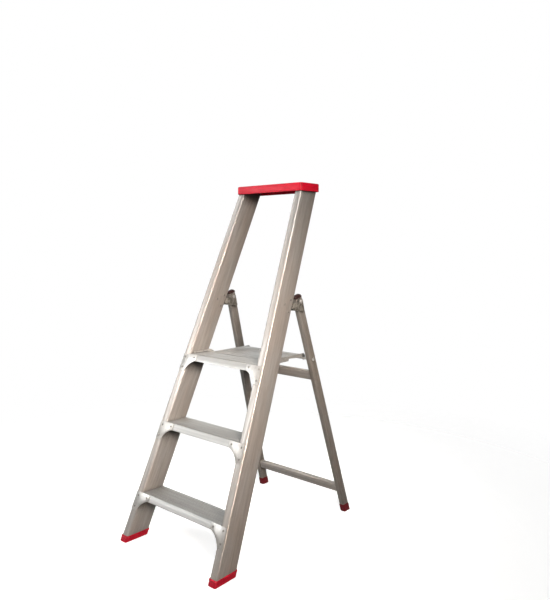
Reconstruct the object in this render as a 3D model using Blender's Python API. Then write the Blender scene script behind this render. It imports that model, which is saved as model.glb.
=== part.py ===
"""Aluminium step ladder with two treads, a folding platform and a propping rear frame.

Metres, +Z up. The origin is on the floor at the middle of the open ladder. The user
climbs facing +Y, so the front stiles stand at -Y and the rear legs at +Y. +X is the
climber's right. Every moving piece has its origin on its own pivot.
"""
from math import cos, pi, radians, sin, tan

import bmesh
import bpy
from mathutils import Vector

# --- driving dimensions -----------------------------------------------------------------

GAP = 0.0003             # air left between two pieces that touch

# Front frame: two stiles that lean back and close together towards the top.
LEAN = radians(22.9)     # stile, from the vertical
TOE_Y = -0.3780          # front face of the stile at the floor
HALF_BASE = 0.2435       # outer face of the stile at the floor
CLOSING = 0.0635         # how much the outer face moves in per metre of stile
STILE_W = 0.0310
STILE_D = 0.0850
STILE_R = 0.0045
STILE_WALL = 0.0018
STILE_TOP = 1.262        # height of the stile's sawn end, inside the cap

# Treads: the third one is the front part of the platform.
RISE_FIRST = 0.166
RISE = 0.240
TREAD_D = 0.0940
SKIN = 0.0030
LIP_H = 0.0240
BACK_H = 0.0220
RIB_H = 0.0012
RIB_W = 0.0030
RIB_PITCH = 0.0068
GUSSET_T = 0.0020
GUSSET_REACH = 0.0420    # along the lip, inboard of the stile
GUSSET_DROP = 0.0660     # down the stile

# Top cap and feet.
CAP_HALF = 0.1620
CAP_TOP = 1.276
CAP_H = 0.030
CAP_D = 0.1120
CAP_WALL = 0.0030
SHOE_H = 0.0210
SHOE_WALL = 0.0022
SHOE_FLOOR = 0.0060

# Rear frame.
REAR_LEAN = radians(16.3)
REAR_TOE_Y = TOE_Y + 0.7224    # front face of the rear leg at the floor
REAR_HALF = 0.2266
REAR_CLOSING = 0.0555          # per metre of height
LEG_W = 0.0202
LEG_D = 0.0330
LEG_R = 0.0030
LEG_WALL = 0.0016
LEG_FLUTE_W = 0.0090
LEG_FLUTE = 0.0008
HINGE_Z = 0.847
LEG_HEAD = 0.0140              # sawn end of the leg, beyond the hinge
LEG_CAP_H = 0.0120
REAR_SHOE_H = 0.0300
BAR_H = 0.0360
BAR_D = 0.0180
BAR_R = 0.0060
BAR_SET = 0.0040               # front face of a bar behind the leg's front face
BAR_TOPS = (("upper", 0.5803), ("lower", 0.1147))

# Hinge of the rear frame.
CHEEK_T = 0.0025
CHEEK_ROOM = 0.0127            # from the leg's middle to a cheek; the folded leg spreads by 2 mm
CHEEK_R = 0.0118
WEB_BELOW = 0.0400             # web of the bracket, below the hinge along the stile
NECK_BELOW = 0.0170            # top of that web, also below the hinge
CHEEK_FOOT = (0.0330, 0.0260)  # lower back corner of a cheek, behind and below the hinge
HINGE_PIN_R = 0.0040
WASHER_R = 0.0080
WASHER_T = 0.0018

# Folding deck of the platform.
DECK_HALF = 0.1420
DECK_GAP = 0.0040              # behind the third tread
DECK_D = 0.1710
DECK_EDGE = 0.0120
FLANGE_T = 0.0030
FLANGE_DEEP = 0.0185
FLANGE_DEEP_D = 0.1020
FLANGE_LOW = 0.0100
PIVOT_BACK = 0.0100            # deck pivot, behind the deck's front edge
PIVOT_DOWN = 0.0095
PIVOT_PIN_R = 0.0035
SPACER_R = 0.0070
PLATE_T = 0.0030
PLATE_RISE = 0.0070            # above the platform
PLATE_LUG_R = 0.0105
ROD_R = 0.0045
ROD_Z = 0.6290
HOOK_TAIL = 0.0160             # hook, behind the rod's middle
HOOK_DROP = 0.0080

PLATFORM_Z = RISE_FIRST + 2 * RISE

# --- places that follow from them --------------------------------------------------------

SIN_L = sin(LEAN)
COS_L = cos(LEAN)
SIN_R = sin(REAR_LEAN)
COS_R = cos(REAR_LEAN)


def stile_point(x, d, t):
    """Point at x, depth d behind the stile's front face and t along the stile."""
    return Vector((x, TOE_Y + t * SIN_L + d * COS_L, t * COS_L - d * SIN_L))


def stile_t(y, z):
    """How far along the stile the point (y, z) is."""
    return (y - TOE_Y) * SIN_L + z * COS_L


def stile_out(t):
    return HALF_BASE - CLOSING * t


def stile_in(y, z):
    """Inner face of the stile in the plane through (y, z)."""
    return stile_out(stile_t(y, z)) - STILE_W


def leg_front(z):
    return REAR_TOE_Y - z * tan(REAR_LEAN)


def leg_out(z):
    return REAR_HALF - REAR_CLOSING * z


def leg_mid_y(z):
    return leg_front(z) + LEG_D / 2 / COS_R


HINGE_Y = leg_mid_y(HINGE_Z)
HINGE_X = leg_out(HINGE_Z) - LEG_W / 2
ROD_Y = leg_mid_y(ROD_Z)
TREAD_BACK_Y = TOE_Y + PLATFORM_Z * tan(LEAN) + TREAD_D
DECK_Y = TREAD_BACK_Y + DECK_GAP
PIVOT_Y = DECK_Y + PIVOT_BACK
PIVOT_Z = PLATFORM_Z - PIVOT_DOWN

# --- modelling helpers -------------------------------------------------------------------

ALUMINIUM = ("Anodised aluminium", (0.50, 0.47, 0.43, 1), 0.38, 1.0)
TREAD_ALLOY = ("Tread aluminium", (0.46, 0.46, 0.45, 1), 0.45, 1.0)
PLATE_ALLOY = ("Plate aluminium", (0.62, 0.61, 0.58, 1), 0.35, 1.0)
ZINC = ("Zinc plated steel", (0.24, 0.23, 0.21, 1), 0.42, 1.0)
STEEL = ("Bright steel", (0.55, 0.54, 0.52, 1), 0.28, 1.0)
RED = ("Red plastic", (0.58, 0.006, 0.028, 1), 0.35, 0.0)
DARK_RED = ("Dark red plastic", (0.30, 0.010, 0.022, 1), 0.45, 0.0)
BROWN = ("Dark plastic", (0.055, 0.035, 0.032, 1), 0.50, 0.0)
NYLON = ("Nylon", (0.70, 0.69, 0.64, 1), 0.45, 0.0)


def material(finish):
    name, colour, roughness, metallic = finish
    mat = bpy.data.materials.get(name) or bpy.data.materials.new(name)
    mat.use_nodes = True
    shader = mat.node_tree.nodes["Principled BSDF"]
    shader.inputs["Base Color"].default_value = colour
    shader.inputs["Roughness"].default_value = roughness
    shader.inputs["Metallic"].default_value = metallic
    return mat


def solid(name, rings, finish, origin=(0, 0, 0), ring_closed=False):
    """Skin a stack of equal rings. A closed stack is a tube, an open one gets end faces."""
    origin = Vector(origin)
    bm = bmesh.new()
    loops = [[bm.verts.new(Vector(p) - origin) for p in ring] for ring in rings]
    count = len(loops[0])
    pairs = list(zip(loops, loops[1:]))
    if ring_closed:
        pairs.append((loops[-1], loops[0]))
    else:
        bm.faces.new(loops[0])
        bm.faces.new(loops[-1])
    for low, high in pairs:
        for i in range(count):
            j = (i + 1) % count
            bm.faces.new((low[i], low[j], high[j], high[i]))
    bmesh.ops.recalc_face_normals(bm, faces=bm.faces)
    mesh = bpy.data.meshes.new(name)
    bm.to_mesh(mesh)
    bm.free()
    mesh.shade_smooth()
    mesh.set_sharp_from_angle(angle=radians(32))
    if finish:
        mesh.materials.append(material(finish))
    obj = bpy.data.objects.new(name, mesh)
    obj.location = origin
    bpy.context.scene.collection.objects.link(obj)
    return obj


def tool(obj):
    """Mark an object as a cutter or a filler, not a piece of the ladder."""
    obj.hide_render = True
    obj.display_type = "WIRE"
    return obj


def combine(obj, other, operation):
    mod = obj.modifiers.new(operation.title(), "BOOLEAN")
    mod.operation = operation
    mod.solver = "EXACT"
    mod.object = tool(other)
    return obj


def circle(y, z, radius, count):
    return [(y + radius * cos(2 * pi * i / count), z + radius * sin(2 * pi * i / count))
            for i in range(count)]


def turned_x(name, steps, y, z, finish, origin, side=1, count=24):
    """A piece turned about the X axis at (y, z), from pairs of x and radius."""
    rings = [[(side * x, p, q) for p, q in circle(y, z, r, count)] for x, r in steps]
    return solid(name, rings, finish, origin)


def drill(obj, y, z, radius, x_low, x_high):
    """Cut a round hole along X."""
    cutter = turned_x("Cut " + obj.name, [(x_low, radius), (x_high, radius)], y, z, None,
                      obj.location)
    return combine(obj, cutter, "DIFFERENCE")


def rounded(a0, a1, b0, b1, radius, steps=3):
    """Corner points of a rounded rectangle, counter-clockwise."""
    corners = ((a1 - radius, b0 + radius, -90), (a1 - radius, b1 - radius, 0),
               (a0 + radius, b1 - radius, 90), (a0 + radius, b0 + radius, 180))
    points = []
    for a, b, start in corners:
        for i in range(steps + 1):
            angle = radians(start + 90 * i / steps)
            points.append((a + radius * cos(angle), b + radius * sin(angle)))
    return points


# --- front frame -------------------------------------------------------------------------

def stile_ring(side, grow, z):
    """Horizontal section of a stile at height z, grown outwards by grow."""
    ring = []
    for x, d in rounded(-STILE_W - grow, grow, -grow, STILE_D + grow, max(STILE_R + grow, 0.001)):
        t = (z + d * SIN_L) / COS_L
        point = stile_point(stile_out(t) + x, d, t)
        point.x *= side
        ring.append(point)
    return ring


def make_stile(side, tag):
    low = SHOE_FLOOR + GAP
    rings = [stile_ring(side, 0, low), stile_ring(side, 0, STILE_TOP),
             stile_ring(side, -STILE_WALL, STILE_TOP), stile_ring(side, -STILE_WALL, low)]
    solid("stile_" + tag, rings, ALUMINIUM, ring_closed=True)


def make_front_shoe(side, tag):
    outer = SHOE_WALL + GAP
    rings = [stile_ring(side, outer - 0.0012, 0), stile_ring(side, outer, 0.0012),
             stile_ring(side, outer, SHOE_H - 0.0008), stile_ring(side, outer - 0.0008, SHOE_H),
             stile_ring(side, GAP, SHOE_H), stile_ring(side, GAP, SHOE_FLOOR)]
    solid("front_shoe_" + tag, rings, RED)


def make_cap():
    low = CAP_TOP - CAP_H
    mid = TOE_Y + (low + STILE_TOP) / 2 * tan(LEAN) + STILE_D / 2 / COS_L

    def ring(inset, z):
        radius = 0.012 - inset
        return [(x, y, z) for x, y in rounded(-CAP_HALF + inset, CAP_HALF - inset,
                                              mid - CAP_D / 2 + inset, mid + CAP_D / 2 - inset,
                                              radius, 4)]

    rings = [ring(0.0045, CAP_TOP), ring(0.0014, CAP_TOP - 0.0012), ring(0, CAP_TOP - 0.0042),
             ring(0, low + 0.0008), ring(0.0008, low), ring(CAP_WALL, low),
             ring(CAP_WALL, CAP_TOP - CAP_WALL)]
    solid("top_cap", rings, RED)


def tread_profile():
    """Section of a tread in (y, z), from the front top edge of its lip."""
    nose = 0.0012
    top = [(nose, 0.0), (0.0110, 0.0)]
    y = 0.0110
    while y + RIB_PITCH < TREAD_D - 0.010:
        top += [(y + 0.0004, -RIB_H), (y + RIB_PITCH - RIB_W - 0.0004, -RIB_H),
                (y + RIB_PITCH - RIB_W, 0.0), (y + RIB_PITCH, 0.0)]
        y += RIB_PITCH
    back = [(TREAD_D - 0.0060, 0.0), (TREAD_D, -0.0060), (TREAD_D, -BACK_H),
            (TREAD_D - SKIN, -BACK_H), (TREAD_D - SKIN, -0.0074), (TREAD_D - 0.0072, -SKIN)]
    corner = SKIN * (1 - SIN_L) / COS_L
    lip = [(SKIN * COS_L - corner * SIN_L, -SKIN),
           (SKIN * COS_L - LIP_H * SIN_L, -SKIN * SIN_L - LIP_H * COS_L),
           (-LIP_H * SIN_L, -LIP_H * COS_L), (-nose * SIN_L, -nose * COS_L)]
    return top + back + lip


def make_tread(number, z):
    y = TOE_Y + z * tan(LEAN)
    section = [(y + p, z + q) for p, q in tread_profile()]
    rings = [[(side * (stile_in(p, q) - GAP), p, q) for p, q in section] for side in (-1, 1)]
    solid("tread_%d" % number, rings, TREAD_ALLOY)


def make_end_angle(number, z, side, tag):
    """Angle under the end of a tread, flat on the stile's inner face."""
    y = TOE_Y + z * tan(LEAN)
    top = z - SKIN - GAP
    section = [(0, top), (0, top - 0.026), (0.003, top - 0.026), (0.003, top - 0.003),
               (0.022, top - 0.003), (0.022, top)]
    rings = []
    for p in (y + 0.012, y + 0.082):
        rings.append([(side * (stile_in(p, q) - GAP - inboard), p, q) for inboard, q in section])
    solid("end_angle_%d_%s" % (number, tag), rings, PLATE_ALLOY)


def gusset_outline(t0):
    """Outline in (x, t) of the plate that ties a lip to the stile's front face."""
    def inner(t):
        return stile_out(t) - STILE_W

    low = t0 - GUSSET_DROP
    points = [(stile_out(t0) - 0.003, t0 - 0.001), (inner(t0) - GUSSET_REACH, t0 - 0.001),
              (inner(t0) - GUSSET_REACH, t0 - LIP_H + 0.002)]
    start = Vector(points[-1])
    end = Vector((inner(low + 0.006) + 0.001, low + 0.006))
    for i in range(1, 7):
        share = i / 6
        point = start.lerp(end, share)
        point += Vector((0.0045, 0.0045)) * sin(pi * share)
        points.append((point.x, point.y))
    points += [(inner(low) + 0.003, low), (stile_out(low) - 0.006, low),
               (stile_out(low + 0.003) - 0.003, low + 0.003)]
    return points


def make_gusset(number, z, side, tag):
    outline = gusset_outline(z / COS_L)
    rings = []
    for d in (-GAP, -GAP - GUSSET_T):
        ring = []
        for x, t in outline:
            ring.append(stile_point(side * x, d, t))
        rings.append(ring)
    solid("gusset_%d_%s" % (number, tag), rings, PLATE_ALLOY)


# --- rear frame --------------------------------------------------------------------------

def leg_section(side, grow, flute=True):
    """Section of a rear leg in (x, d); both side faces carry a shallow flute."""
    r = max(LEG_R + grow, 0.001)
    points = rounded(-LEG_W - grow, grow, -grow, LEG_D + grow, r)
    if not flute:
        return points
    mid = LEG_D / 2
    half = LEG_FLUTE_W / 2
    step = [(0, -half - LEG_FLUTE), (-LEG_FLUTE, -half), (-LEG_FLUTE, half),
            (0, half + LEG_FLUTE)]
    right = [(grow + x, mid + d) for x, d in step]
    left = [(-LEG_W - grow - x, mid - d) for x, d in step]
    return points[:4] + right + points[4:12] + left + points[12:]


def leg_ring(side, grow, z, flute=True, square=False):
    """Ring at height z on the leg's front face; square cuts across, else level."""
    ring = []
    for x, d in leg_section(side, grow, flute):
        level = z + d * SIN_R if square else z
        y = leg_front(level) + d / COS_R
        ring.append((side * (leg_out(level) + x), y, level))
    return ring


def leg_head_z():
    """Height on the leg's front face of the square cut above the hinge."""
    return HINGE_Z - LEG_D / 2 * SIN_R + LEG_HEAD * COS_R


def make_leg(side, tag, pivot):
    low = SHOE_FLOOR + GAP
    top = leg_head_z()
    rings = [leg_ring(side, 0, low), leg_ring(side, 0, top, square=True),
             leg_ring(side, -LEG_WALL, top, square=True), leg_ring(side, -LEG_WALL, low)]
    leg = solid("rear_leg_" + tag, rings, ALUMINIUM, pivot, ring_closed=True)
    for y, z, radius in ((HINGE_Y, HINGE_Z, HINGE_PIN_R), (ROD_Y, ROD_Z, ROD_R)):
        drill(leg, y, z, radius + GAP, side * 0.1, side * 0.3)


def make_leg_cap(side, tag, pivot):
    """Domed plug in the leg's sawn end."""
    top = leg_head_z() + GAP
    rise = LEG_CAP_H * COS_R
    plug = -LEG_WALL - LEG_FLUTE - GAP
    rings = [leg_ring(side, plug, top - 0.006 * COS_R, False, True),
             leg_ring(side, plug, top, False, True),
             leg_ring(side, 0.0006, top, False, True),
             leg_ring(side, 0.0006, top + 0.30 * rise, False, True),
             leg_ring(side, -0.0008, top + 0.55 * rise, False, True),
             leg_ring(side, -0.0030, top + 0.76 * rise, False, True),
             leg_ring(side, -0.0058, top + 0.92 * rise, False, True),
             leg_ring(side, -0.0088, top + rise, False, True)]
    solid("leg_cap_" + tag, rings, BROWN, pivot)


def make_rear_shoe(side, tag, pivot):
    outer = SHOE_WALL - 0.0006
    rings = [leg_ring(side, outer - 0.001, 0, False), leg_ring(side, outer, 0.001, False),
             leg_ring(side, outer, REAR_SHOE_H - 0.0008, False),
             leg_ring(side, outer - 0.0008, REAR_SHOE_H, False),
             leg_ring(side, GAP, REAR_SHOE_H, False), leg_ring(side, GAP, SHOE_FLOOR, False)]
    solid("rear_shoe_" + tag, rings, DARK_RED, pivot)


def make_bar(name, top, pivot):
    """Tube between the legs, its flat front parallel to theirs."""
    def ring(side, inset):
        points = []
        for s, d in rounded(inset, BAR_H - inset, BAR_SET + inset, BAR_SET + BAR_D - inset,
                            BAR_R - inset, 4):
            z = top - s * COS_R + (d - BAR_SET) * SIN_R
            y = leg_front(top) + s * SIN_R + (d - BAR_SET) * COS_R + BAR_SET / COS_R
            points.append((side * (leg_out(z) - LEG_W - GAP), y, z))
        return points

    rings = [ring(-1, 0), ring(1, 0), ring(1, LEG_WALL), ring(-1, LEG_WALL)]
    solid("crossbar_" + name, rings, ALUMINIUM, pivot, ring_closed=True)


def make_rest_rod(pivot):
    """Rod that ties the legs and carries the back of the deck, its ends upset."""
    face = leg_out(ROD_Z) + GAP + 0.0004
    steps = [(-face - 0.0020, 0.0044), (-face - 0.0012, 0.0062), (-face, 0.0068), (-face, ROD_R),
             (face, ROD_R), (face, 0.0068), (face + 0.0012, 0.0062), (face + 0.0020, 0.0044)]
    turned_x("rest_rod", steps, ROD_Y, ROD_Z, STEEL, pivot)


# --- hinge of the rear frame -------------------------------------------------------------

def make_hinge_bracket(side, tag):
    """Folded plate: a web on the stile's back face and a cheek each side of the leg."""
    pin_t = stile_t(HINGE_Y, HINGE_Z)
    pin_d = (HINGE_Y - TOE_Y) * COS_L - HINGE_Z * SIN_L
    back = STILE_D + GAP
    low = pin_t - WEB_BELOW
    neck = pin_t - NECK_BELOW
    foot_d = pin_d + CHEEK_FOOT[0]
    foot_t = pin_t - CHEEK_FOOT[1]
    outline = [(back, low), (pin_d - 0.0140, low), (foot_d - 0.0040, foot_t - 0.0016),
               (foot_d, foot_t + 0.0024)]
    for i in range(11):
        angle = radians(35 + 110 * i / 10)
        outline.append((pin_d + CHEEK_R * cos(angle), pin_t + CHEEK_R * sin(angle)))
    outline += [(back + 0.0120, neck), (back, neck)]

    def ring(x, points):
        return [stile_point(side * x, d, t) for d, t in points]

    room = CHEEK_ROOM
    wide = room + CHEEK_T
    name = "hinge_bracket_" + tag
    bracket = solid(name, [ring(HINGE_X - wide, outline), ring(HINGE_X + wide, outline)], ZINC)
    slot = [(back + CHEEK_T, low - 0.01), (0.3, low - 0.01), (0.3, pin_t + 0.05),
            (back + CHEEK_T, pin_t + 0.05)]
    cutter = solid("Slot " + tag, [ring(HINGE_X - room, slot), ring(HINGE_X + room, slot)], None)
    combine(bracket, cutter, "DIFFERENCE")
    drill(bracket, HINGE_Y, HINGE_Z, HINGE_PIN_R + GAP, side * 0.1, side * 0.3)


def make_hinge_pin(side, tag):
    wide = CHEEK_ROOM + CHEEK_T + GAP
    steps = [(HINGE_X - wide - 0.0025, 0.0045), (HINGE_X - wide - 0.0014, 0.0066),
             (HINGE_X - wide, 0.0072), (HINGE_X - wide, HINGE_PIN_R),
             (HINGE_X + wide, HINGE_PIN_R), (HINGE_X + wide, 0.0072),
             (HINGE_X + wide + 0.0014, 0.0066), (HINGE_X + wide + 0.0025, 0.0045)]
    turned_x("hinge_pin_" + tag, steps, HINGE_Y, HINGE_Z, STEEL, (0, HINGE_Y, HINGE_Z), side)


def make_washer(name, side, x):
    """Nylon washer between a cheek and the leg; x is its face on the cheek's side."""
    rings = []
    for at, radius in ((x, WASHER_R), (x + WASHER_T, WASHER_R),
                       (x + WASHER_T, HINGE_PIN_R + GAP), (x, HINGE_PIN_R + GAP)):
        rings.append([(side * at, p, q) for p, q in circle(HINGE_Y, HINGE_Z, radius, 24)])
    solid(name, rings, NYLON, (0, HINGE_Y, HINGE_Z), ring_closed=True)


# --- folding deck ------------------------------------------------------------------------

def deck_profile():
    """Section of the deck's plate in (y, z) from its front top edge."""
    top = [(0.0, -0.0010), (0.0010, 0.0), (0.0060, 0.0)]
    y = 0.0060
    while y + RIB_PITCH < DECK_D - 0.010:
        top += [(y + 0.0004, -RIB_H), (y + RIB_PITCH - RIB_W - 0.0004, -RIB_H),
                (y + RIB_PITCH - RIB_W, 0.0), (y + RIB_PITCH, 0.0)]
        y += RIB_PITCH
    return top + [(DECK_D - 0.0030, 0.0), (DECK_D, -0.0030), (DECK_D, -DECK_EDGE),
                  (DECK_D - SKIN, -DECK_EDGE), (DECK_D - SKIN, -SKIN), (SKIN, -SKIN),
                  (SKIN, -DECK_EDGE), (0.0, -DECK_EDGE)]


def flange_outline():
    """Side flange in (y, z): deep at the pivot, shallow behind, hooked over the rod."""
    top = PLATFORM_Z - 0.0005
    seat = ROD_R + GAP
    deep = PLATFORM_Z - FLANGE_DEEP
    low = PLATFORM_Z - FLANGE_LOW
    points = [(DECK_Y, top - 0.003), (DECK_Y, deep + 0.006), (DECK_Y + 0.006, deep),
              (DECK_Y + FLANGE_DEEP_D, deep), (DECK_Y + FLANGE_DEEP_D + 0.003, low)]
    for i in range(9):
        angle = radians(145 - 145 * i / 8)
        points.append((ROD_Y + seat * cos(angle), ROD_Z + seat * sin(angle)))
    tail = ROD_Y + HOOK_TAIL
    foot = ROD_Z - HOOK_DROP
    points += [(ROD_Y + seat, foot), (tail - 0.003, foot), (tail, foot + 0.003),
               (tail, top - 0.009), (tail - 0.009, top), (DECK_Y + 0.003, top)]
    return points


def make_deck(pivot):
    half = DECK_HALF - FLANGE_T / 2
    section = [(DECK_Y + p, PLATFORM_Z + q) for p, q in deck_profile()]
    rings = [[(x, p, q) for p, q in section] for x in (-half, half)]
    deck = solid("platform_deck", rings, TREAD_ALLOY, pivot)
    for side in (-1, 1):
        rings = [[(side * x, p, q) for p, q in flange_outline()]
                 for x in (DECK_HALF - FLANGE_T, DECK_HALF)]
        combine(deck, solid("Flange %+d" % side, rings, TREAD_ALLOY, pivot), "UNION")
    for side in (-1, 1):
        drill(deck, PIVOT_Y, PIVOT_Z, PIVOT_PIN_R + GAP, side * 0.12, side * 0.16)


def make_pivot_plate(side, tag):
    """Plate on the stile's inner face; its round lug reaches down behind the third tread."""
    shelf = PLATFORM_Z + GAP
    top = PLATFORM_Z + PLATE_RISE
    front = TOE_Y + PLATFORM_Z * tan(LEAN) + 0.016
    neck = TREAD_BACK_Y + 0.0015
    outline = [(front, shelf), (front, top - 0.003), (front + 0.003, top), (neck + 0.004, top)]
    for i in range(11):
        angle = radians(66 - 246 * i / 10)
        outline.append((PIVOT_Y + PLATE_LUG_R * cos(angle), PIVOT_Z + PLATE_LUG_R * sin(angle)))
    outline[-1] = (neck, PIVOT_Z)
    outline.append((neck, shelf))
    rings = [[(side * (stile_in(p, q) - GAP - inboard), p, q) for p, q in outline]
             for inboard in (0, PLATE_T)]
    plate = solid("pivot_plate_" + tag, rings, PLATE_ALLOY)
    drill(plate, PIVOT_Y, PIVOT_Z, PIVOT_PIN_R + GAP, side * 0.14, side * 0.19)


def make_deck_pin(side, tag):
    """Headed pin through the flange, the spacer and the plate, with its spacer."""
    inner = DECK_HALF - FLANGE_T - GAP
    plate_out = stile_in(PIVOT_Y, PIVOT_Z) + 0.0006
    pivot = (0, PIVOT_Y, PIVOT_Z)
    steps = [(inner - 0.0024, 0.0038), (inner - 0.0012, 0.0053), (inner, 0.0057),
             (inner, PIVOT_PIN_R), (plate_out, PIVOT_PIN_R), (plate_out, 0.0056),
             (plate_out + 0.0010, 0.0052), (plate_out + 0.0016, 0.0038)]
    turned_x("deck_pin_" + tag, steps, PIVOT_Y, PIVOT_Z, STEEL, pivot, side)
    low = DECK_HALF + GAP
    high = stile_in(PIVOT_Y + SPACER_R, PIVOT_Z + SPACER_R) - GAP - PLATE_T - GAP
    rings = []
    for at, radius in ((low, SPACER_R), (high, SPACER_R), (high, PIVOT_PIN_R + GAP),
                       (low, PIVOT_PIN_R + GAP)):
        rings.append([(side * at, p, q) for p, q in circle(PIVOT_Y, PIVOT_Z, radius, 24)])
    solid("deck_spacer_" + tag, rings, NYLON, pivot, ring_closed=True)


# --- assembly ----------------------------------------------------------------------------

def clear_scene():
    for obj in list(bpy.data.objects):
        bpy.data.objects.remove(obj, do_unlink=True)


def build():
    clear_scene()
    rear_pivot = (0, HINGE_Y, HINGE_Z)
    deck_pivot = (0, PIVOT_Y, PIVOT_Z)
    make_cap()
    for number in (1, 2, 3):
        z = RISE_FIRST + (number - 1) * RISE
        make_tread(number, z)
        for side, tag in ((-1, "left"), (1, "right")):
            make_end_angle(number, z, side, tag)
            make_gusset(number, z, side, tag)
    for name, top in BAR_TOPS:
        make_bar(name, top, rear_pivot)
    make_rest_rod(rear_pivot)
    make_deck(deck_pivot)
    for side, tag in ((-1, "left"), (1, "right")):
        make_stile(side, tag)
        make_front_shoe(side, tag)
        make_leg(side, tag, rear_pivot)
        make_leg_cap(side, tag, rear_pivot)
        make_rear_shoe(side, tag, rear_pivot)
        make_hinge_bracket(side, tag)
        make_hinge_pin(side, tag)
        cheek = HINGE_X - CHEEK_ROOM + GAP
        make_washer("washer_in_" + tag, side, cheek)
        make_washer("washer_out_" + tag, side, HINGE_X + CHEEK_ROOM - GAP - WASHER_T)
        make_pivot_plate(side, tag)
        make_deck_pin(side, tag)


build()
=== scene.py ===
"""Looks of the folding step ladder: materials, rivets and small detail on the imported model, with
a plain studio around it. Metres, +Z up; the user climbs facing +Y."""
from math import cos, pi, radians, sin, tan

import bmesh
import bpy
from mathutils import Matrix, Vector


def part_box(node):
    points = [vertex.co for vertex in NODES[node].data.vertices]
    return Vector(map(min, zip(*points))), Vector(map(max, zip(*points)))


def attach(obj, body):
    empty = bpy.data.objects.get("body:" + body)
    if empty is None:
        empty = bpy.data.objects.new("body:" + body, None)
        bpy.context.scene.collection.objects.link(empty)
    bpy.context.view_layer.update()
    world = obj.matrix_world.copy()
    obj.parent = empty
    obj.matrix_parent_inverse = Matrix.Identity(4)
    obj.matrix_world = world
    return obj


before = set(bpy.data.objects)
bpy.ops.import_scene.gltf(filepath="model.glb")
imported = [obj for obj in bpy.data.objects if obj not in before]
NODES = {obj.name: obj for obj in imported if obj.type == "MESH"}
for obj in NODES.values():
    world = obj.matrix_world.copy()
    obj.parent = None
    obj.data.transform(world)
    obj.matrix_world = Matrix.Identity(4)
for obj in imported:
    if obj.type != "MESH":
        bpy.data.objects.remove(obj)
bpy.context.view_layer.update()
SIDES = (("left", -1), ("right", 1))

STILE_LEAN = radians(22.9)      # the stiles lean back
LEG_LEAN = radians(16.3)        # the rear legs lean forward
SIN_L = sin(STILE_LEAN)
COS_L = cos(STILE_LEAN)
ALONG_STILE = (STILE_LEAN, 0, 0)
ALONG_LEG = (-LEG_LEAN, 0, 0)
ALONG_X = (0, radians(90), 0)
UNTURNED = (0, 0, 0)

# Places that the CAD gives its parts, for the rivets and rims.
TOE_Y = -0.3780                 # front face of a stile at the floor
HALF_BASE = 0.2435              # outer face of a stile at the floor
CLOSING = 0.0635                # how much that face moves in per metre of stile
STILE_W = 0.0310
STILE_D = 0.0850
STILE_R = 0.0045                # rounding of its corners
TREADS = ((1, 0.166), (2, 0.406), (3, 0.646))  # number and height of the top
HINGE_T = 0.9717                # the hinge, along the stile
LEG_TOE_Y = 0.3444              # front face of a rear leg at the floor
LEG_HALF = 0.2266               # its outer face at the floor
LEG_CLOSING = 0.0555            # how much that face moves in per metre of height
LEG_D = 0.0330
LEG_FLUTE = 0.0008              # depth of the groove along a leg's side
BAR_TOPS = (("upper", 0.5803), ("lower", 0.1147))
GUSSET_FACE = -0.0023           # front face of a gusset, as a depth behind the stile's front face
WEB_FACE = 0.0878               # back face of a hinge bracket's web, the same way
PLATE_FACE = 0.0033             # face of an end angle or pivot plate, out from the stile's wall
STRIP_Z = 0.6497                # middle of the strip along a pivot plate

# Radii of the rivets' heads, and half the section of a head as shares of its radius: out from
# the axis, and up.
RIVET_R = {"gusset": 0.0038, "end_angle": 0.0030, "stile": 0.0036, "bracket": 0.0034,
           "pivot_plate": 0.0020, "crossbar": 0.0030}
RIVET_STEPS = 24
RIVET_PROFILE = ((0.16, 0.10), (0.20, 0.34), (0.34, 0.42), (0.55, 0.40), (0.76, 0.32),
                 (0.92, 0.19), (1.0, 0.07), (1.0, -0.03))

# Section of the rim round a front shoe: out from the stile's outline, and up from the floor.
RIM = ((0.0021, 0.0152), (0.0027, 0.0154), (0.0033, 0.0161), (0.0035, 0.0173),
       (0.0034, 0.0187), (0.0030, 0.0198), (0.0021, 0.0202))
RIM_STEPS = 4                   # round each corner of the stile

# Finish of the meshes.
SMOOTH_BELOW = radians(34)      # CAD edges flatter than this look round, and get no bevel
PIECE_SMOOTH_BELOW = radians(50)  # the same for the rivets and rims
WELD = 0.00001
CORNER_RAYS = 8                 # rays that look for a corner or a cover near a point

# Colours. A pair is a base and a second tone, which for a plastic is its scuffed tone.
STILE_TONES = (0.52, 0.505, 0.485), (0.49, 0.425, 0.375)
# The legs' tones are a darker copy of the stile aluminium: painted shade.
LEG_SHADED_TONES = (0.36, 0.34, 0.32), (0.31, 0.275, 0.24)
TREAD_TONES = (0.51, 0.51, 0.50), (0.46, 0.455, 0.44)
PLATE_TONES = (0.62, 0.61, 0.59), (0.56, 0.54, 0.51)
SCRATCH = (0.85, 0.84, 0.82)
# Painted shade, with some dirt, for the corners and grooves of aluminium.
DIRT_AND_SHADE = (0.085, 0.075, 0.065)
# Painted shadow on faces right under a tread or the cap.
UNDER_SHADOW = (0.05, 0.045, 0.04)
BRACKET_ZINC = (0.40, 0.38, 0.34)
PIN_ZINC = (0.80, 0.79, 0.77)
RIVET_HEAD = (0.34, 0.325, 0.30)
# Painted shade, with some dirt, for the corners of steel and rivets.
STEEL_DIRT_AND_SHADE = (0.03, 0.025, 0.02)
CAP_RED = (0.70, 0.004, 0.028), (0.70, 0.08, 0.10)
SHOE_RED = (0.50, 0.003, 0.022), (0.62, 0.12, 0.14)
REAR_SHOE_RED = (0.15, 0.008, 0.014), (0.42, 0.18, 0.17)
LEG_CAP_DARK = (0.035, 0.016, 0.016), (0.12, 0.09, 0.08)
NYLON = (0.62, 0.60, 0.54), (0.72, 0.70, 0.66)

# Noise cells per metre in extruded aluminium, twice across the member and once along it.
DIE_LINES = (1400, 1400, 5)
STREAKS = (110, 110, 1.4)
BLOOM = (9, 9, 3.5)
SCRATCHES = (900, 25, 900)      # turned a little off the member
SCRATCH_TURN = (0.5, 0.4, 0.7)

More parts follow.
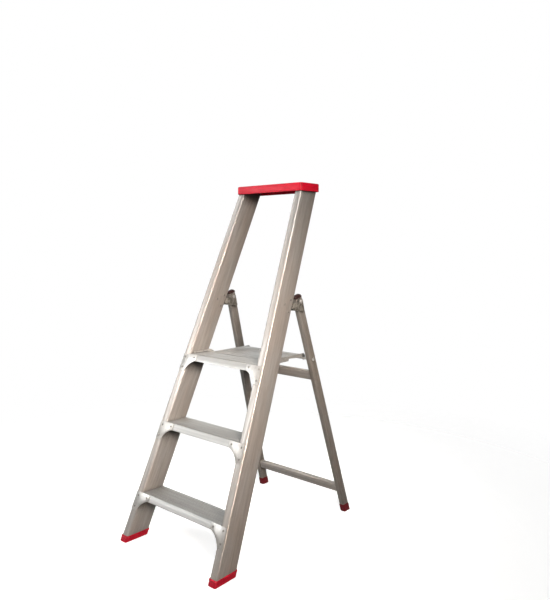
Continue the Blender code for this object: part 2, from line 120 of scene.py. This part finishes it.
# Studio. The floor glows a little so that it stays pale next to lamps that don't burn out the
# metal, and fades out between two distances from the middle. Lamps: name, place, size, height
# aimed at, spread in degrees, power, colour. Glow: direction, half width in degrees, colour.
FLOOR_PALE = (0.80, 0.80, 0.80)
FLOOR_GLOW = 0.84
FLOOR_FADE = (0.6, 2.0)
FLOOR_RADIUS = 7.0
PALE_Z = -0.0004
GREY_Z = -0.0010
BOUNCE_GREYS = (0.20, 0.20, 0.20), (0.25, 0.25, 0.25)
LAMPS = (
    ("key", (1.9, -2.6, 2.0), (1.0, 1.0), 0.70, 60, 1.8, (1.0, 0.92, 0.83)),
    ("high", (1.3, -1.7, 3.2), (0.8, 0.8), 0.74, 52, 4.8, (1.0, 0.98, 0.94)),
    ("right", (2.6, -1.5, 1.7), (0.8, 0.8), 0.60, 34, 7.0, (1.0, 0.87, 0.77)),
    ("left", (-1.9, -2.0, 1.6), (1.4, 1.0), 0.60, 180, 32, (0.97, 0.99, 1.0)),
    ("left_high", (-2.2, -0.4, 2.6), (1.0, 1.0), 0.60, 180, 13, (1.0, 1.0, 1.0)),
    ("side", (2.2, 1.7, 0.9), (0.8, 0.7), 0.60, 180, 2, (1.0, 0.86, 0.74)),
)
WORLD_BASE = (0.022, 0.026, 0.028)
WORLD_GLOW = ((-0.66, 0.70, 0.35), 40, (1.30, 1.32, 1.30))
CAMERA_PLACE = (1.5819, -1.6419, 1.0564)
CAMERA_TURN = (1.48035, 0.0, 0.71384)
CAMERA_LENS = 41.004            # for a sensor 36 mm wide


# --- node graphs -------------------------------------------------------------------------

def shade(colour, factor):
    """The colour made darker, or lighter up to 1."""
    return tuple(min(1, factor * c) for c in colour)


class Graph:
    """A material's node tree, with a short call for each node used here."""

    def __init__(self, name):
        self.material = bpy.data.materials.new(name)
        self.material.use_nodes = True
        self.tree = self.material.node_tree
        self.shader = self.tree.nodes["Principled BSDF"]
        self.place = self.node("ShaderNodeTexCoord").outputs["Object"]

    def node(self, kind, **settings):
        made = self.tree.nodes.new(kind)
        for key, value in settings.items():
            setattr(made, key, value)
        return made

    def feed(self, socket, value):
        if isinstance(value, bpy.types.NodeSocket):
            self.tree.links.new(value, socket)
        else:
            socket.default_value = value

    def turned(self, rotation, scale):
        """Object coordinates turned so that Z runs along the member, then scaled."""
        turn = self.node("ShaderNodeMapping")
        self.feed(turn.inputs["Vector"], self.place)
        turn.inputs["Rotation"].default_value = rotation
        stretch = self.node("ShaderNodeVectorMath", operation="MULTIPLY")
        self.feed(stretch.inputs[0], turn.outputs[0])
        stretch.inputs[1].default_value = scale
        return stretch.outputs[0]

    def noise(self, vector, scale, detail=2.0, roughness=0.5):
        made = self.node("ShaderNodeTexNoise")
        self.feed(made.inputs["Vector"], vector)
        made.inputs["Scale"].default_value = scale
        made.inputs["Detail"].default_value = detail
        made.inputs["Roughness"].default_value = roughness
        return made.outputs["Fac"]

    def remap(self, value, low, high, to_low=0.0, to_high=1.0):
        made = self.node("ShaderNodeMapRange", clamp=True)
        self.feed(made.inputs["Value"], value)
        for socket, number in zip(made.inputs[1:5], (low, high, to_low, to_high)):
            socket.default_value = number
        return made.outputs[0]

    def math(self, operation, a, b=0.0):
        made = self.node("ShaderNodeMath", operation=operation)
        self.feed(made.inputs[0], a)
        self.feed(made.inputs[1], b)
        return made.outputs[0]

    def mix(self, factor, a, b, blend="MIX"):
        made = self.node("ShaderNodeMix", data_type="RGBA", blend_type=blend)
        self.feed(made.inputs["Factor"], factor)
        for socket, value in ((made.inputs[6], a), (made.inputs[7], b)):
            self.feed(socket, value if isinstance(value, bpy.types.NodeSocket) else (*value, 1))
        return made.outputs[2]

    def occlusion(self, distance):
        """1 in the open, falling to 0 in corners and grooves."""
        made = self.node("ShaderNodeAmbientOcclusion", samples=CORNER_RAYS)
        made.inputs["Distance"].default_value = distance
        return made.outputs["AO"]

    def overhang(self, distance):
        """0 in the open, rising to 1 on a face that looks along X, right under something: the mask of
        a painted shadow.
        """
        normal = self.node("ShaderNodeNewGeometry").outputs["Normal"]
        tilt = self.node("ShaderNodeVectorMath", operation="ADD")
        self.feed(tilt.inputs[0], normal)
        tilt.inputs[1].default_value = (0, 0, 0.9)
        unit = self.node("ShaderNodeVectorMath", operation="NORMALIZE")
        self.feed(unit.inputs[0], tilt.outputs[0])
        made = self.node("ShaderNodeAmbientOcclusion", samples=CORNER_RAYS)
        made.inputs["Distance"].default_value = distance
        self.feed(made.inputs["Normal"], unit.outputs[0])
        split = self.node("ShaderNodeSeparateXYZ")
        self.feed(split.inputs[0], normal)
        side = self.remap(self.math("ABSOLUTE", split.outputs["X"]), 0.6, 0.9)
        return self.math("MULTIPLY", side, self.remap(made.outputs["AO"], 0.34, 0.78, 1.0, 0.0))

    def serration(self):
        """1 in the notches of a fine serration across X, on faces that look up."""
        wave = self.node("ShaderNodeTexWave", wave_type="BANDS", bands_direction="X")
        self.feed(wave.inputs["Vector"], self.place)
        wave.inputs["Scale"].default_value = 90.0
        wave.inputs["Distortion"].default_value = 0.6
        patchy = self.noise(self.place, 160.0, 3.0)
        notch = self.math("MULTIPLY", self.remap(wave.outputs["Fac"], 0.45, 0.75),
                          self.remap(patchy, 0.30, 0.60, 0.25, 1.0))
        split = self.node("ShaderNodeSeparateXYZ")
        self.feed(split.inputs[0], self.node("ShaderNodeNewGeometry").outputs["Normal"])
        return self.math("MULTIPLY", notch, self.remap(split.outputs["Z"], 0.80, 0.95))

    def bump(self, height, distance, strength, under=None):
        made = self.node("ShaderNodeBump")
        self.feed(made.inputs["Height"], height)
        made.inputs["Distance"].default_value = distance
        made.inputs["Strength"].default_value = strength
        if under:
            self.feed(made.inputs["Normal"], under)
        return made.outputs["Normal"]

    def finish(self, colour, roughness, normal, metallic=0.0, **constants):
        self.feed(self.shader.inputs["Base Color"], colour)
        self.feed(self.shader.inputs["Roughness"], roughness)
        self.feed(self.shader.inputs["Normal"], normal)
        self.shader.inputs["Metallic"].default_value = metallic
        for key, value in constants.items():
            self.shader.inputs[key.replace("_", " ")].default_value = value
        return self.material


# --- materials ---------------------------------------------------------------------------

def aluminium(name, rotation, colour, warm, roughness, dirt_and_shade=0.35, teeth=0.0, under_shadow=0.0):
    """Extruded aluminium: die lines along the member, oxide bloom, scratches, and grime with
    painted shade in corners. With teeth, faces that look up are finely serrated across the
    member; a painted shadow darkens a face right under something."""
    g = Graph(name)
    askew = tuple(a + b for a, b in zip(rotation, SCRATCH_TURN))
    lines = g.noise(g.turned(rotation, DIE_LINES), 1.0, 3.0, 0.6)
    streaks = g.noise(g.turned(rotation, STREAKS), 1.0, 4.0, 0.62)
    bloom = g.noise(g.turned(rotation, BLOOM), 1.0, 5.0, 0.6)
    scratch = g.remap(g.noise(g.turned(askew, SCRATCHES), 1.0, 2.0), 0.70, 0.76)
    tone = g.mix(g.remap(bloom, 0.38, 0.62, 0.0, 0.95), colour, warm)
    tone = g.mix(g.remap(streaks, 0.36, 0.66, 0.0, 0.50), tone, shade(warm, 0.55))
    tone = g.mix(g.remap(lines, 0.35, 0.65, 0.0, 0.22), tone, shade(colour, 1.25))
    tone = g.mix(g.math("MULTIPLY", scratch, 0.35), tone, SCRATCH)
    # Painted shade, with some dirt: darker where occlusion finds a corner or groove.
    corner = g.remap(g.occlusion(0.012), 0.25, 0.85, dirt_and_shade, 0.0)
    tone = g.mix(corner, tone, DIRT_AND_SHADE)
    # Painted shadow on side faces right under a tread or the cap.
    if under_shadow:
        tone = g.mix(g.math("MULTIPLY", g.overhang(0.085), under_shadow), tone, UNDER_SHADOW)
    rough = g.math("ADD", g.remap(streaks, 0.3, 0.7, roughness - 0.05, roughness + 0.07),
                   g.remap(bloom, 0.35, 0.7, -0.03, 0.06))
    rough = g.math("ADD", rough, g.math("MULTIPLY", corner, 0.35))
    normal = g.bump(lines, 0.00012, 0.55)
    normal = g.bump(scratch, 0.00010, 0.4, normal)
    if teeth:
        notch = g.serration()
        tone = g.mix(g.math("MULTIPLY", notch, teeth), tone, shade(warm, 0.30))
        normal = g.bump(notch, -0.0004, 0.8, normal)
    return g.finish(tone, rough, normal, metallic=0.6)


def zinc(name, colour, roughness, blotch=0.2):
    """Zinc plated steel: mottled crystals, dark stains, and grime with painted shade in the corners.
    """
    g = Graph(name)
    cells = g.node("ShaderNodeTexVoronoi")
    g.feed(cells.inputs["Vector"], g.place)
    cells.inputs["Scale"].default_value = 420.0
    mottle = g.noise(g.place, 130.0, 4.0, 0.65)
    stain = g.noise(g.place, 75.0, 3.0, 0.6)
    tone = g.mix(g.remap(cells.outputs["Distance"], 0.1, 0.9, 0.0, 0.55), colour, shade(colour, 0.40))
    tone = g.mix(g.remap(mottle, 0.42, 0.68, 0.0, 0.6), tone, shade(colour, 1.5))
    tone = g.mix(g.remap(stain, 0.46, 0.60, 0.0, blotch), tone, shade(colour, 0.30))
    # Painted shade, with some dirt: darker where occlusion finds a corner.
    corner = g.remap(g.occlusion(0.009), 0.25, 0.9, 0.85, 0.0)
    tone = g.mix(corner, tone, STEEL_DIRT_AND_SHADE)
    rough = g.remap(mottle, 0.35, 0.7, roughness - 0.08, roughness + 0.14)
    normal = g.bump(mottle, 0.00015, 0.5)
    return g.finish(tone, rough, normal, metallic=0.7)


def plastic(name, colour, scuffed, roughness, wear=0.5):
    """Moulded plastic: fine spark-eroded grain, paler scuffs, and grime with painted shade in the
    corners.
    """
    g = Graph(name)
    fine = g.noise(g.place, 1900.0, 2.0, 0.6)
    cloud = g.noise(g.place, 28.0, 4.0, 0.6)
    rub = g.noise(g.turned((0.3, 0.5, 0.2), (60, 420, 60)), 1.0, 4.0, 0.65)
    scuffs = g.remap(rub, 0.60, 0.74, 0.0, wear)
    tone = g.mix(g.remap(cloud, 0.3, 0.7, 0.0, 0.35), colour, shade(colour, 0.72))
    tone = g.mix(scuffs, tone, scuffed)
    # Painted shade, with some grime: a darker copy of the colour where occlusion finds a corner.
    corner = g.remap(g.occlusion(0.005), 0.2, 0.8, 0.6, 0.0)
    tone = g.mix(corner, tone, shade(colour, 0.18))
    rough = g.math("ADD", g.remap(cloud, 0.3, 0.7, roughness - 0.05, roughness + 0.08),
                   g.math("MULTIPLY", scuffs, 0.25))
    normal = g.bump(fine, 0.00010, 0.45)
    normal = g.bump(scuffs, 0.00008, 0.5, normal)
    return g.finish(tone, rough, normal, Specular_IOR_Level=0.35)


# --- light, floor and camera -------------------------------------------------------------

def disc(name, height, material):
    """A large round sheet, part of the studio."""
    bm = bmesh.new()
    bmesh.ops.create_circle(bm, cap_ends=True, segments=96, radius=FLOOR_RADIUS)
    mesh = bpy.data.meshes.new(name)
    bm.to_mesh(mesh)
    bm.free()
    mesh.materials.append(material)
    obj = bpy.data.objects.new(name, mesh)
    obj.location.z = height
    bpy.context.scene.collection.objects.link(obj)
    return obj


def make_floor():
    """A pale floor to look at, and a grey one just below it that the metal reflects."""
    g = Graph("Pale floor")
    speck = g.noise(g.place, 240.0, 3.0)
    tone = g.mix(g.remap(speck, 0.35, 0.65), FLOOR_PALE, shade(FLOOR_PALE, 0.97))
    reach = g.node("ShaderNodeVectorMath", operation="LENGTH")
    g.feed(reach.inputs[0], g.place)
    g.feed(g.shader.inputs["Alpha"], g.remap(reach.outputs["Value"], *FLOOR_FADE, 1.0, 0.0))
    g.feed(g.shader.inputs["Emission Color"], tone)
    pale = disc("floor", PALE_Z, g.finish(tone, 0.9, g.bump(speck, 0.0002, 0.3),
                                          Emission_Strength=FLOOR_GLOW))
    pale.visible_diffuse = False
    pale.visible_glossy = False
    pale.visible_shadow = False
    g = Graph("Grey floor")
    grey = g.mix(g.noise(g.place, 2.0), *BOUNCE_GREYS)
    low = disc("floor_grey", GREY_Z, g.finish(grey, 0.9, g.bump(grey, 0.0002, 0.2)))
    low.visible_camera = False


def glow(tree, direction, width, colour):
    """Soft round patch of light in the world: direction, half width in degrees, colour."""
    place = tree.nodes.new("ShaderNodeTexCoord")
    along = tree.nodes.new("ShaderNodeVectorMath")
    along.operation = "DOT_PRODUCT"
    tree.links.new(place.outputs["Generated"], along.inputs[0])
    along.inputs[1].default_value = Vector(direction).normalized()
    edge = tree.nodes.new("ShaderNodeMapRange")
    edge.interpolation_type = "SMOOTHSTEP"
    tree.links.new(along.outputs["Value"], edge.inputs["Value"])
    edge.inputs["From Min"].default_value = cos(radians(width))
    tint = tree.nodes.new("ShaderNodeVectorMath")
    tint.operation = "SCALE"
    tint.inputs[0].default_value = colour
    tree.links.new(edge.outputs["Result"], tint.inputs["Scale"])
    return tint.outputs["Vector"]


def make_world():
    """White behind the ladder, and a dim studio for its metal to reflect."""
    world = bpy.data.worlds.new("Studio")
    world.use_nodes = True
    bpy.context.scene.world = world
    tree = world.node_tree
    light = tree.nodes["Background"]
    total = tree.nodes.new("ShaderNodeVectorMath")
    tree.links.new(glow(tree, *WORLD_GLOW), total.inputs[0])
    total.inputs[1].default_value = WORLD_BASE
    tree.links.new(total.outputs["Vector"], light.inputs["Color"])
    white = tree.nodes.new("ShaderNodeBackground")
    white.inputs["Color"].default_value = (1, 1, 1, 1)
    ray = tree.nodes.new("ShaderNodeLightPath")
    pick = tree.nodes.new("ShaderNodeMixShader")
    tree.links.new(ray.outputs["Is Camera Ray"], pick.inputs["Fac"])
    tree.links.new(light.outputs[0], pick.inputs[1])
    tree.links.new(white.outputs[0], pick.inputs[2])
    tree.links.new(pick.outputs[0], tree.nodes["World Output"].inputs["Surface"])


def make_lights():
    """Soft boxes, each aimed at a height on the ladder's middle line."""
    for name, place, size, height, spread, power, colour in LAMPS:
        lamp = bpy.data.lights.new(name, "AREA")
        lamp.shape = "RECTANGLE"
        lamp.size, lamp.size_y = size
        lamp.spread = radians(spread)
        lamp.energy = power
        lamp.color = colour
        obj = bpy.data.objects.new(name, lamp)
        obj.location = place
        aim = Vector((0, 0, height)) - Vector(place)
        obj.rotation_euler = aim.to_track_quat("-Z", "Y").to_euler()
        bpy.context.scene.collection.objects.link(obj)


def make_camera():
    """The main view, from in front of the ladder and to its right."""
    data = bpy.data.cameras.new("camera")
    data.sensor_fit = "HORIZONTAL"
    data.sensor_width = 36.0
    data.lens = CAMERA_LENS
    data.clip_end = 60.0
    camera = bpy.data.objects.new("camera", data)
    camera.location = CAMERA_PLACE
    camera.rotation_euler = CAMERA_TURN
    bpy.context.scene.collection.objects.link(camera)
    bpy.context.scene.camera = camera


# --- finishing the CAD nodes -------------------------------------------------------------

def smooth_group():
    """Geometry nodes that smooth every edge flatter than SMOOTH_BELOW."""
    tree = bpy.data.node_groups.new("Smooth shallow edges", "GeometryNodeTree")
    tree.interface.new_socket("Geometry", in_out="INPUT", socket_type="NodeSocketGeometry")
    tree.interface.new_socket("Geometry", in_out="OUTPUT", socket_type="NodeSocketGeometry")
    start = tree.nodes.new("NodeGroupInput")
    end = tree.nodes.new("NodeGroupOutput")
    angle = tree.nodes.new("GeometryNodeInputMeshEdgeAngle")
    steep = tree.nodes.new("FunctionNodeCompare")
    steep.operation = "GREATER_THAN"
    steep.inputs[1].default_value = SMOOTH_BELOW
    faces = tree.nodes.new("GeometryNodeSetShadeSmooth")
    edges = tree.nodes.new("GeometryNodeSetShadeSmooth")
    edges.domain = "EDGE"
    edges.inputs["Shade Smooth"].default_value = False
    for a, b in ((start.outputs[0], faces.inputs["Geometry"]),
                 (faces.outputs[0], edges.inputs["Geometry"]),
                 (angle.outputs["Unsigned Angle"], steep.inputs[0]),
                 (steep.outputs[0], edges.inputs["Selection"]), (edges.outputs[0], end.inputs[0])):
        tree.links.new(a, b)
    return tree


def dress(names, material, edge, group):
    """Give CAD nodes their material, joined corners, a small bevel and smooth shading."""
    for name in names:
        obj = NODES[name]
        for slot in obj.material_slots:
            slot.material = material
        mesh = obj.data
        if "custom_normal" in mesh.attributes:
            mesh.attributes.remove(mesh.attributes["custom_normal"])
        weld = obj.modifiers.new("Weld", "WELD")
        weld.merge_threshold = WELD
        if edge:
            bevel = obj.modifiers.new("Bevel", "BEVEL")
            bevel.width = edge
            bevel.segments = 2
            bevel.limit_method = "ANGLE"
            bevel.angle_limit = SMOOTH_BELOW
        smooth = obj.modifiers.new("Smooth", "NODES")
        smooth.node_group = group


def both(*names):
    """Names of the left and right nodes of each kind."""
    return [name + "_" + tag for name in names for tag, side in SIDES]


def dress_nodes():
    """Dress every CAD node; return the materials that the added pieces share."""
    group = smooth_group()
    # The stiles and legs get a painted shadow right under the treads and the cap.
    dress(both("stile"),
          aluminium("Stile aluminium", ALONG_STILE, *STILE_TONES, 0.45, under_shadow=0.92), 0, group)
    # The legs: a darker copy of the stile aluminium, painted shade.
    dress(both("rear_leg"),
          aluminium("Shaded leg aluminium", ALONG_LEG, *LEG_SHADED_TONES, 0.44, under_shadow=0.8), 0, group)
    dress(["crossbar_upper", "crossbar_lower"],
          aluminium("Crossbar aluminium", ALONG_X, *STILE_TONES, 0.44), 0, group)
    # The treads get more painted shade, with some dirt, in their corners.
    dress(["tread_1", "tread_2", "tread_3", "platform_deck"],
          aluminium("Tread aluminium", ALONG_X, *TREAD_TONES, 0.46, dirt_and_shade=0.6, teeth=0.5), 0, group)
    plates = ["%s_%d" % (kind, number) for kind in ("gusset", "end_angle") for number, z in TREADS]
    dress(both(*plates, "pivot_plate"),
          aluminium("Plate aluminium", UNTURNED, *PLATE_TONES, 0.38), 0.0005, group)
    dress(both("hinge_bracket"), zinc("Bracket steel", BRACKET_ZINC, 0.46, 0.75), 0.0004, group)
    steel = zinc("Bright steel", PIN_ZINC, 0.34, 0.1)
    dress(both("hinge_pin", "deck_pin") + ["rest_rod"], steel, 0, group)
    dress(["top_cap"], plastic("Red plastic", *CAP_RED, 0.46), 0.0004, group)
    red = plastic("Shoe plastic", *SHOE_RED, 0.48, wear=0.6)
    dress(both("front_shoe"), red, 0.0004, group)
    dress(both("rear_shoe"), plastic("Dark red plastic", *REAR_SHOE_RED, 0.50, wear=0.7),
          0.0004, group)
    dress(both("leg_cap"), plastic("Dark plastic", *LEG_CAP_DARK, 0.42), 0.0004, group)
    dress(both("washer_in", "washer_out", "deck_spacer"), plastic("Nylon", *NYLON, 0.42),
          0.0002, group)
    head = zinc("Rivet aluminium", RIVET_HEAD, 0.40)
    return head, steel, red


# --- rivets and moulded rims -------------------------------------------------------------

def on_stile(x, d, t):
    """Point at x, depth d behind the stile's front face and t along the stile."""
    return Vector((x, TOE_Y + t * SIN_L + d * COS_L, t * COS_L - d * SIN_L))


def stile_out(t):
    """Distance of a stile's outer face from the middle plane, t along the stile."""
    return HALF_BASE - CLOSING * t


def piece(name, bm, body, material):
    """Turn a bmesh into a piece that rides on a body and has its slot and material."""
    bmesh.ops.recalc_face_normals(bm, faces=bm.faces)
    mesh = bpy.data.meshes.new(name)
    bm.to_mesh(mesh)
    bm.free()
    mesh.shade_smooth()
    mesh.set_sharp_from_angle(angle=PIECE_SMOOTH_BELOW)
    mesh.materials.append(material)
    obj = bpy.data.objects.new(name, mesh)
    bpy.context.scene.collection.objects.link(obj)
    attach(obj, body)


def join_loops(bm, loops):
    """Faces between each loop of vertices and the next."""
    for low, high in zip(loops, loops[1:]):
        for i in range(len(low)):
            j = (i + 1) % len(low)
            bm.faces.new((low[i], low[j], high[j], high[i]))


def add_rivet(bm, place, normal, radius):
    """Domed head with a rolled edge and the dimple its mandrel leaves."""
    turn = Vector((0, 0, 1)).rotation_difference(Vector(normal)).to_matrix()
    rings = []
    for out, up in RIVET_PROFILE:
        ring = []
        for i in range(RIVET_STEPS):
            angle = 2 * pi * i / RIVET_STEPS
            point = Vector((radius * out * cos(angle), radius * out * sin(angle), radius * up))
            ring.append(bm.verts.new(Vector(place) + turn @ point))
        rings.append(ring)
    bm.faces.new(rings[0])
    bm.faces.new(rings[-1])
    join_loops(bm, rings)


def rivets(kind, suffix, places, material, body="frame"):
    """One piece with a rivet of this kind at each place, which is a point and a normal."""
    bm = bmesh.new()
    for place, normal in places:
        add_rivet(bm, place, normal, RIVET_R[kind])
    piece("rivets_%s_%s" % (kind, suffix), bm, body, material)


def gusset_rivets(side, z):
    """One rivet through the tread's lip and two through the stile's front face."""
    front = Vector((0, -COS_L, SIN_L))
    t0 = z / COS_L
    lip = on_stile(side * (stile_out(t0) - STILE_W - 0.030), GUSSET_FACE, t0 - 0.012)
    places = [(lip, front)]
    for below in (0.013, 0.052):
        t = t0 - below
        places.append((on_stile(side * (stile_out(t) - STILE_W / 2), GUSSET_FACE, t), front))
    return places


def side_rivets(side):
    """Three rivets through both side walls of a stile, in front of the hinge."""
    places = []
    for d, t in ((0.070, HINGE_T - 0.012), (0.070, HINGE_T - 0.056), (0.042, HINGE_T - 0.038)):
        for wall, way in ((0, 1), (STILE_W, -1)):
            point = on_stile(side * (stile_out(t) - wall), d, t)
            places.append((point, (way * side, way * CLOSING * SIN_L, way * CLOSING * COS_L)))
    return places


def bracket_rivets(side, x):
    """Two rivets that hold the bracket's web on the stile's back face."""
    back = Vector((0, COS_L, -SIN_L))
    return [(on_stile(side * x, WEB_FACE, HINGE_T + up), back) for up in (-0.034, -0.023)]


def wall_rivet(side, y, z):
    """A rivet on a plate that lies on a stile's inner face."""
    t = (y - TOE_Y) * SIN_L + z * COS_L
    return (side * (stile_out(t) - STILE_W - PLATE_FACE), y, z), (-side, 0, 0)


def plate_rivets(side):
    """Two small rivets along the strip of a pivot plate."""
    return [wall_rivet(side, y, STRIP_Z) for y in (-0.078, -0.042)]


def angle_rivets(side, z):
    """Two rivets through the upright leg of a tread's end angle."""
    front = TOE_Y + z * tan(STILE_LEAN)
    return [wall_rivet(side, front + behind, z - 0.020) for behind in (0.030, 0.066)]


def bar_rivets(side, top):
    """Two rivets in the flute of a leg, at the end of a crossbar."""
    places = []
    for below in (0.009, 0.026):
        z = top - below
        y = LEG_TOE_Y - z * tan(LEG_LEAN) + LEG_D / 2 / cos(LEG_LEAN)
        places.append(((side * (LEG_HALF - LEG_CLOSING * z - LEG_FLUTE), y, z),
                       (side, 0, LEG_CLOSING)))
    return places


def stile_loop(side, grow, z):
    """Rounded outline round a stile at height z, grown outwards by grow."""
    radius = STILE_R + grow
    points = []
    for mid_x, mid_d, start in ((-STILE_R, STILE_R, -90), (-STILE_R, STILE_D - STILE_R, 0),
                                (STILE_R - STILE_W, STILE_D - STILE_R, 90),
                                (STILE_R - STILE_W, STILE_R, 180)):
        for i in range(RIM_STEPS + 1):
            angle = radians(start + 90 * i / RIM_STEPS)
            d = mid_d + radius * sin(angle)
            t = (z + d * SIN_L) / COS_L
            point = on_stile(stile_out(t) + mid_x + radius * cos(angle), d, t)
            points.append((side * point.x, point.y, point.z))
    return points


def shoe_rim(name, side, material):
    """Rolled rim round the top of a front shoe."""
    bm = bmesh.new()
    loops = [[bm.verts.new(p) for p in stile_loop(side, grow, z)] for grow, z in RIM]
    join_loops(bm, loops + loops[:1])
    piece(name, bm, "frame", material)


def add_details(head, steel, red):
    """Every rivet and rim, on both sides."""
    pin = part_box("hinge_pin_right")
    hinge_x = (pin[0][0] + pin[1][0]) / 2
    for tag, side in SIDES:
        for number, z in TREADS:
            suffix = "%d_%s" % (number, tag)
            rivets("gusset", suffix, gusset_rivets(side, z), head)
            rivets("end_angle", suffix, angle_rivets(side, z), head)
        rivets("stile", tag, side_rivets(side), head)
        rivets("bracket", tag, bracket_rivets(side, hinge_x), steel)
        rivets("pivot_plate", tag, plate_rivets(side), head)
        for bar, top in BAR_TOPS:
            rivets("crossbar", bar + "_" + tag, bar_rivets(side, top), head, body="rear_frame")
        shoe_rim("shoe_rim_" + tag, side, red)


make_world()
make_camera()
make_lights()
make_floor()
add_details(*dress_nodes())
bpy.context.scene.view_settings.view_transform = "Standard"
